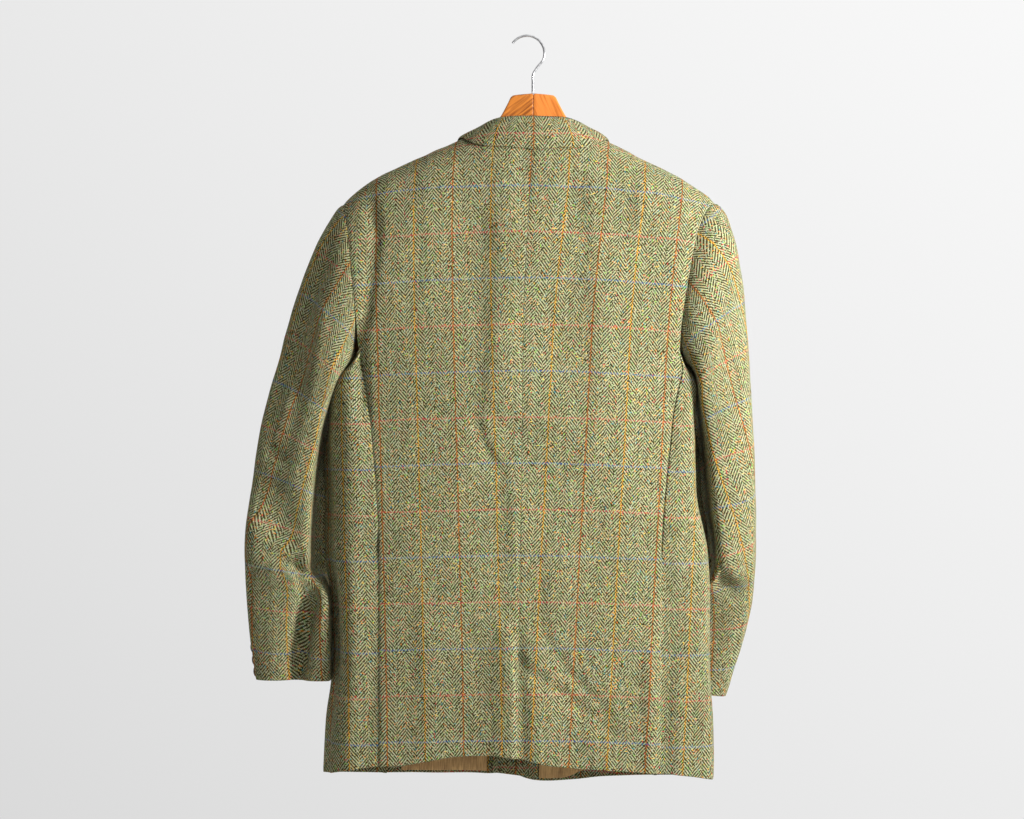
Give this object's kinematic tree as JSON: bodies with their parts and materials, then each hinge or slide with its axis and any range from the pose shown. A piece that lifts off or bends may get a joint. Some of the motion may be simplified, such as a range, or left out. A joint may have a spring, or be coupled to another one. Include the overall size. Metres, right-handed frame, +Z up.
{
  "type": "tweed hacking jacket on a wooden hanger",
  "caption": "Single-breasted wool herringbone jacket with side vents and slanted flap pockets, hung by the wire hook of a wooden hanger.",
  "frame": {"origin": "where the underside of the hanger's hook rests on its nail or rail", "axes": "+Z up along the hook and the back, -X towards the wearer's left, -Y out of the jacket's back, +Y out of its fronts"},
  "size_m": [0.6603, 0.1745, 0.9701],
  "materials": {
    "tweed": "napped wool herringbone with an overcheck",
    "lining": "smooth bronze lining with a low sheen",
    "button": "polished dark brown",
    "wood": "varnished, warm orange brown",
    "chrome": "polished"
  },
  "bodies": {
    "root": {"back_left": "tweed", "back_right": "tweed", "side_left": "tweed", "side_right": "tweed", "front_left": "tweed", "front_right": "tweed", "lapel_left": "tweed", "lapel_right": "tweed", "top_sleeve_left": "tweed", "top_sleeve_right": "tweed", "under_sleeve_left": "tweed", "under_sleeve_right": "tweed", "flap_left": "tweed", "flap_right": "tweed", "breast_welt": "tweed", "collar": "tweed", "facing_right": "tweed", "lining_left": "lining", "lining_right": "lining", "front_button_1": "button", "front_button_2": "button", "front_button_3": "button", "cuff_button_left_1": "button", "cuff_button_left_2": "button", "cuff_button_left_3": "button", "cuff_button_right_1": "button", "cuff_button_right_2": "button", "cuff_button_right_3": "button", "hanger_left": "wood", "hanger_right": "wood", "hook": "chrome"}
  },
  "joints": []
}
